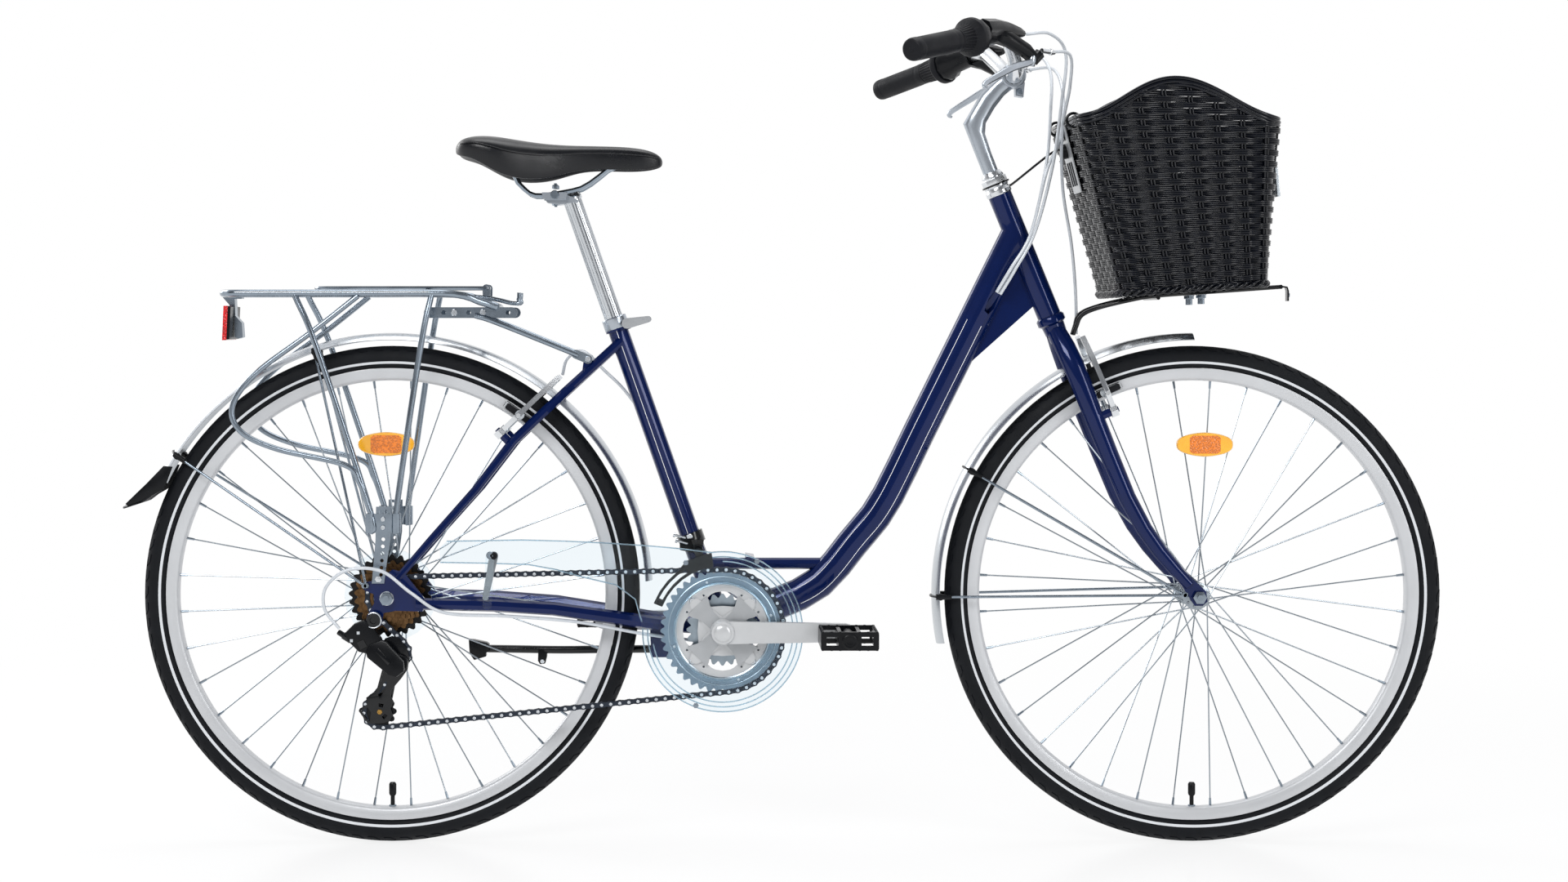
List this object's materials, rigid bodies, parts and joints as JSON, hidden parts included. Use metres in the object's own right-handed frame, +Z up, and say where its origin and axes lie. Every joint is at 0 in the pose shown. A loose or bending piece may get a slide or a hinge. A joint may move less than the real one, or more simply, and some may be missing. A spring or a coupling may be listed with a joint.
{
  "type": "bicycle",
  "caption": "Low-step city bicycle with a front basket, rear rack, mudguards, clear chain guard, derailleur gears and rim brakes.",
  "frame": {"origin": "on the ground under the middle of the overall length, in the bicycle's centre plane", "axes": "+X forward, +Y to the rider's left, +Z up; the drive side faces -Y"},
  "size_m": [1.8534, 0.6238, 1.1409],
  "materials": {
    "amber": "amber prism",
    "axle_steel": "plated",
    "black_paint": "satin black",
    "black_plastic": "matte black",
    "black_rubber": "matte black",
    "cable_white": "silver grey housing",
    "chain_steel": "oiled dark steel",
    "clear_plastic": "clear plastic",
    "cog_brown": "bronze-toned steel",
    "frame_blue": "gloss navy paint",
    "red": "red prism",
    "silver": "satin",
    "steel": "bright plated",
    "tyre": "black with a white reflective line"
  },
  "bodies": {
    "frame": {"frame": "frame_blue", "rear_mudguard": "silver", "rear_rack": "steel", "rear_reflector": "red", "chain_guard": "clear_plastic", "rear_axle": "axle_steel", "chain": "chain_steel", "rear_brake_cable": "cable_white", "rear_gear_cable": "cable_white", "front_gear_cable": "cable_white", "front_derailleur_clamp": "black_paint", "rear_derailleur_knuckle": "black_plastic"},
    "steering": {"fork": "frame_blue", "headset_locknut": "silver", "stem": "silver", "handlebar": "silver", "grip_left": "black_rubber", "grip_right": "black_rubber", "brake_bracket_left": "black_plastic", "brake_bracket_right": "black_plastic", "basket": "black_plastic", "basket_carrier": "black_paint", "front_mudguard": "silver", "front_axle": "axle_steel", "front_brake_cable": "cable_white"},
    "front_wheel": {"front_tyre": "tyre", "front_rim": "silver", "front_hub_and_spokes": "steel", "front_spoke_reflector": "amber"},
    "rear_wheel": {"rear_tyre": "tyre", "rear_rim": "silver", "rear_hub_and_spokes": "steel", "rear_spoke_reflector": "amber", "spoke_protector": "clear_plastic"},
    "freewheel": {"freewheel": "cog_brown"},
    "crank": {"crank_right": "silver", "chainrings": "steel", "crank_left": "silver"},
    "pedal_right": {"pedal_right": "black_plastic"},
    "pedal_left": {"pedal_left": "black_plastic"},
    "seat": {"seatpost": "silver", "saddle_rails": "steel", "saddle": "black_rubber"},
    "seat_clamp_lever": {"seat_clamp_lever": "black_plastic"},
    "kickstand": {"kickstand": "black_paint"},
    "rack_spring_clip": {"rack_spring_clip": "steel"},
    "front_shift_cage": {"front_derailleur_cage": "black_paint"},
    "derailleur_link": {"rear_derailleur_link": "black_plastic"},
    "derailleur_knuckle": {"rear_derailleur_p_knuckle": "black_plastic"},
    "derailleur_cage": {"rear_derailleur_cage": "black_paint"},
    "guide_pulley": {"guide_pulley": "black_plastic"},
    "tension_pulley": {"tension_pulley": "black_plastic"},
    "rear_brake_left": {"rear_brake_arm_left": "silver"},
    "rear_brake_right": {"rear_brake_arm_right": "silver"},
    "front_brake_left": {"front_brake_arm_left": "silver"},
    "front_brake_right": {"front_brake_arm_right": "silver"},
    "brake_lever_left": {"brake_lever_left": "silver"},
    "brake_lever_right": {"brake_lever_right": "silver"},
    "twist_left": {"twist_shifter_left": "black_rubber"},
    "twist_right": {"twist_shifter_right": "black_rubber"}
  },
  "joints": [
    {"name": "steer", "type": "hinge", "parent": "frame", "child": "steering", "pos_m": [0.34226, 0, 0.82535], "axis": [-0.3778, 0, 0.9259], "range_deg": [-45, 45], "deforming": ["rear_brake_cable", "rear_gear_cable", "front_gear_cable"]},
    {"name": "front_wheel_spin", "type": "hinge", "parent": "steering", "child": "front_wheel", "pos_m": [0.5777, 0, 0.349], "axis": [0, 1, 0], "continuous": true},
    {"name": "rear_wheel_spin", "type": "hinge", "parent": "frame", "child": "rear_wheel", "pos_m": [-0.5488, 0, 0.349], "axis": [0, 1, 0], "continuous": true},
    {"name": "freewheel_spin", "type": "hinge", "parent": "frame", "child": "freewheel", "pos_m": [-0.5488, -0.0455, 0.349], "axis": [0, 1, 0], "continuous": true, "deforming": ["chain"]},
    {"name": "crank_spin", "type": "hinge", "parent": "frame", "child": "crank", "pos_m": [-0.08412, 0, 0.3025], "axis": [0, 1, 0], "continuous": true, "deforming": ["chain"]},
    {"name": "pedal_right_spin", "type": "hinge", "parent": "crank", "child": "pedal_right", "pos_m": [0.08588, -0.138, 0.3025], "axis": [0, 1, 0], "continuous": true},
    {"name": "pedal_left_spin", "type": "hinge", "parent": "crank", "child": "pedal_left", "pos_m": [-0.25412, 0.138, 0.3025], "axis": [0, 1, 0], "continuous": true},
    {"name": "seat_height", "type": "slide", "parent": "frame", "child": "seat", "axis": [-0.3322, 0, 0.9432], "range_m": [-0.1, 0.08]},
    {"name": "seat_clamp_turn", "type": "hinge", "parent": "frame", "child": "seat_clamp_lever", "pos_m": [-0.21791, -0.0185, 0.72938], "axis": [0, 1, 0], "range_deg": [0, 90]},
    {"name": "kickstand_swing", "type": "hinge", "parent": "frame", "child": "kickstand", "pos_m": [-0.172, 0.03, 0.266], "axis": [0, -1, 0], "range_deg": [0, 95]},
    {"name": "rack_clip_lift", "type": "hinge", "parent": "frame", "child": "rack_spring_clip", "pos_m": [-0.415, 0, 0.7788], "axis": [0, 1, 0], "range_deg": [0, 60], "stiffness_Nm_per_rad": 0.6, "springref_deg": -34.38},
    {"name": "front_shift_slide", "type": "slide", "parent": "frame", "child": "front_shift_cage", "axis": [0, 1, 0], "range_m": [0, 0.014], "deforming": ["chain"]},
    {"name": "derailleur_link_swing", "type": "hinge", "parent": "frame", "child": "derailleur_link", "pos_m": [-0.5659, -0.079, 0.281], "axis": [0.538, 0, 0.843], "range_deg": [0, 43.3], "deforming": ["chain", "rear_gear_cable"]},
    {"name": "derailleur_knuckle_swing", "type": "hinge", "parent": "derailleur_link", "child": "derailleur_knuckle", "pos_m": [-0.53458, -0.0938, 0.26101], "axis": [0.538, 0, 0.843], "range_deg": [-43.3, 0]},
    {"name": "derailleur_cage_swing", "type": "hinge", "parent": "derailleur_knuckle", "child": "derailleur_cage", "pos_m": [-0.531, -0.0667, 0.26], "axis": [0, 1, 0], "range_deg": [-30, 0], "stiffness_Nm_per_rad": 0.3, "springref_deg": 28.65, "deforming": ["chain"]},
    {"name": "guide_pulley_spin", "type": "hinge", "parent": "derailleur_cage", "child": "guide_pulley", "pos_m": [-0.5408, -0.0605, 0.2705], "axis": [0, 1, 0], "continuous": true},
    {"name": "tension_pulley_spin", "type": "hinge", "parent": "derailleur_cage", "child": "tension_pulley", "pos_m": [-0.5593, -0.0605, 0.1913], "axis": [0, 1, 0], "continuous": true},
    {"name": "rear_brake_left_swing", "type": "hinge", "parent": "frame", "child": "rear_brake_left", "pos_m": [-0.39023, 0.043, 0.57331], "axis": [0.6899, 0, -0.7239], "range_deg": [0, 1.7], "deforming": ["rear_brake_cable"]},
    {"name": "front_brake_left_swing", "type": "hinge", "parent": "steering", "child": "front_brake_left", "pos_m": [0.45727, 0.04, 0.60573], "axis": [0.9259, 0, 0.3778], "range_deg": [0, 2.2], "deforming": ["front_brake_cable"]},
    {"name": "rear_brake_right_swing", "type": "hinge", "parent": "frame", "child": "rear_brake_right", "pos_m": [-0.39023, -0.043, 0.57331], "axis": [-0.6899, 0, 0.7239], "range_deg": [0, 1.7], "deforming": ["rear_brake_cable"]},
    {"name": "front_brake_right_swing", "type": "hinge", "parent": "steering", "child": "front_brake_right", "pos_m": [0.45727, -0.04, 0.60573], "axis": [-0.9259, 0, -0.3778], "range_deg": [0, 2.2], "deforming": ["front_brake_cable"]},
    {"name": "brake_lever_left_squeeze", "type": "hinge", "parent": "steering", "child": "brake_lever_left", "pos_m": [0.334, 0.14, 1.086], "axis": [0.5767, 0.62, 0.532], "range_deg": [0, 20], "stiffness_Nm_per_rad": 0.4, "springref_deg": -20.05, "deforming": ["rear_brake_cable"]},
    {"name": "twist_shifter_left_turn", "type": "hinge", "parent": "steering", "child": "twist_left", "pos_m": [0.23945, 0.20695, 1.10951], "axis": [0.6333, -0.7484, 0.1971], "range_deg": [0, 80]},
    {"name": "brake_lever_right_squeeze", "type": "hinge", "parent": "steering", "child": "brake_lever_right", "pos_m": [0.334, -0.14, 1.086], "axis": [-0.5767, 0.62, -0.532], "range_deg": [0, 20], "stiffness_Nm_per_rad": 0.4, "springref_deg": -20.05, "deforming": ["front_brake_cable"]},
    {"name": "twist_shifter_right_turn", "type": "hinge", "parent": "steering", "child": "twist_right", "pos_m": [0.23945, -0.20695, 1.10951], "axis": [0.6333, 0.7484, 0.1971], "range_deg": [0, 120]}
  ],
  "couplings": [
    {"joint": "freewheel_spin", "follows": "crank_spin", "ratio": 3},
    {"joint": "tension_pulley_spin", "follows": "crank_spin", "ratio": 3.8182},
    {"joint": "guide_pulley_spin", "follows": "crank_spin", "ratio": -3.8182},
    {"joint": "front_shift_slide", "follows": "twist_shifter_left_turn", "m_per_rad": 0.01},
    {"joint": "derailleur_link_swing", "follows": "twist_shifter_right_turn", "ratio": 0.36},
    {"joint": "derailleur_knuckle_swing", "follows": "twist_shifter_right_turn", "ratio": -0.36},
    {"joint": "rear_brake_left_swing", "follows": "brake_lever_left_squeeze", "ratio": 0.0845},
    {"joint": "rear_brake_right_swing", "follows": "brake_lever_left_squeeze", "ratio": 0.0845},
    {"joint": "front_brake_left_swing", "follows": "brake_lever_right_squeeze", "ratio": 0.109},
    {"joint": "front_brake_right_swing", "follows": "brake_lever_right_squeeze", "ratio": 0.109}
  ]
}
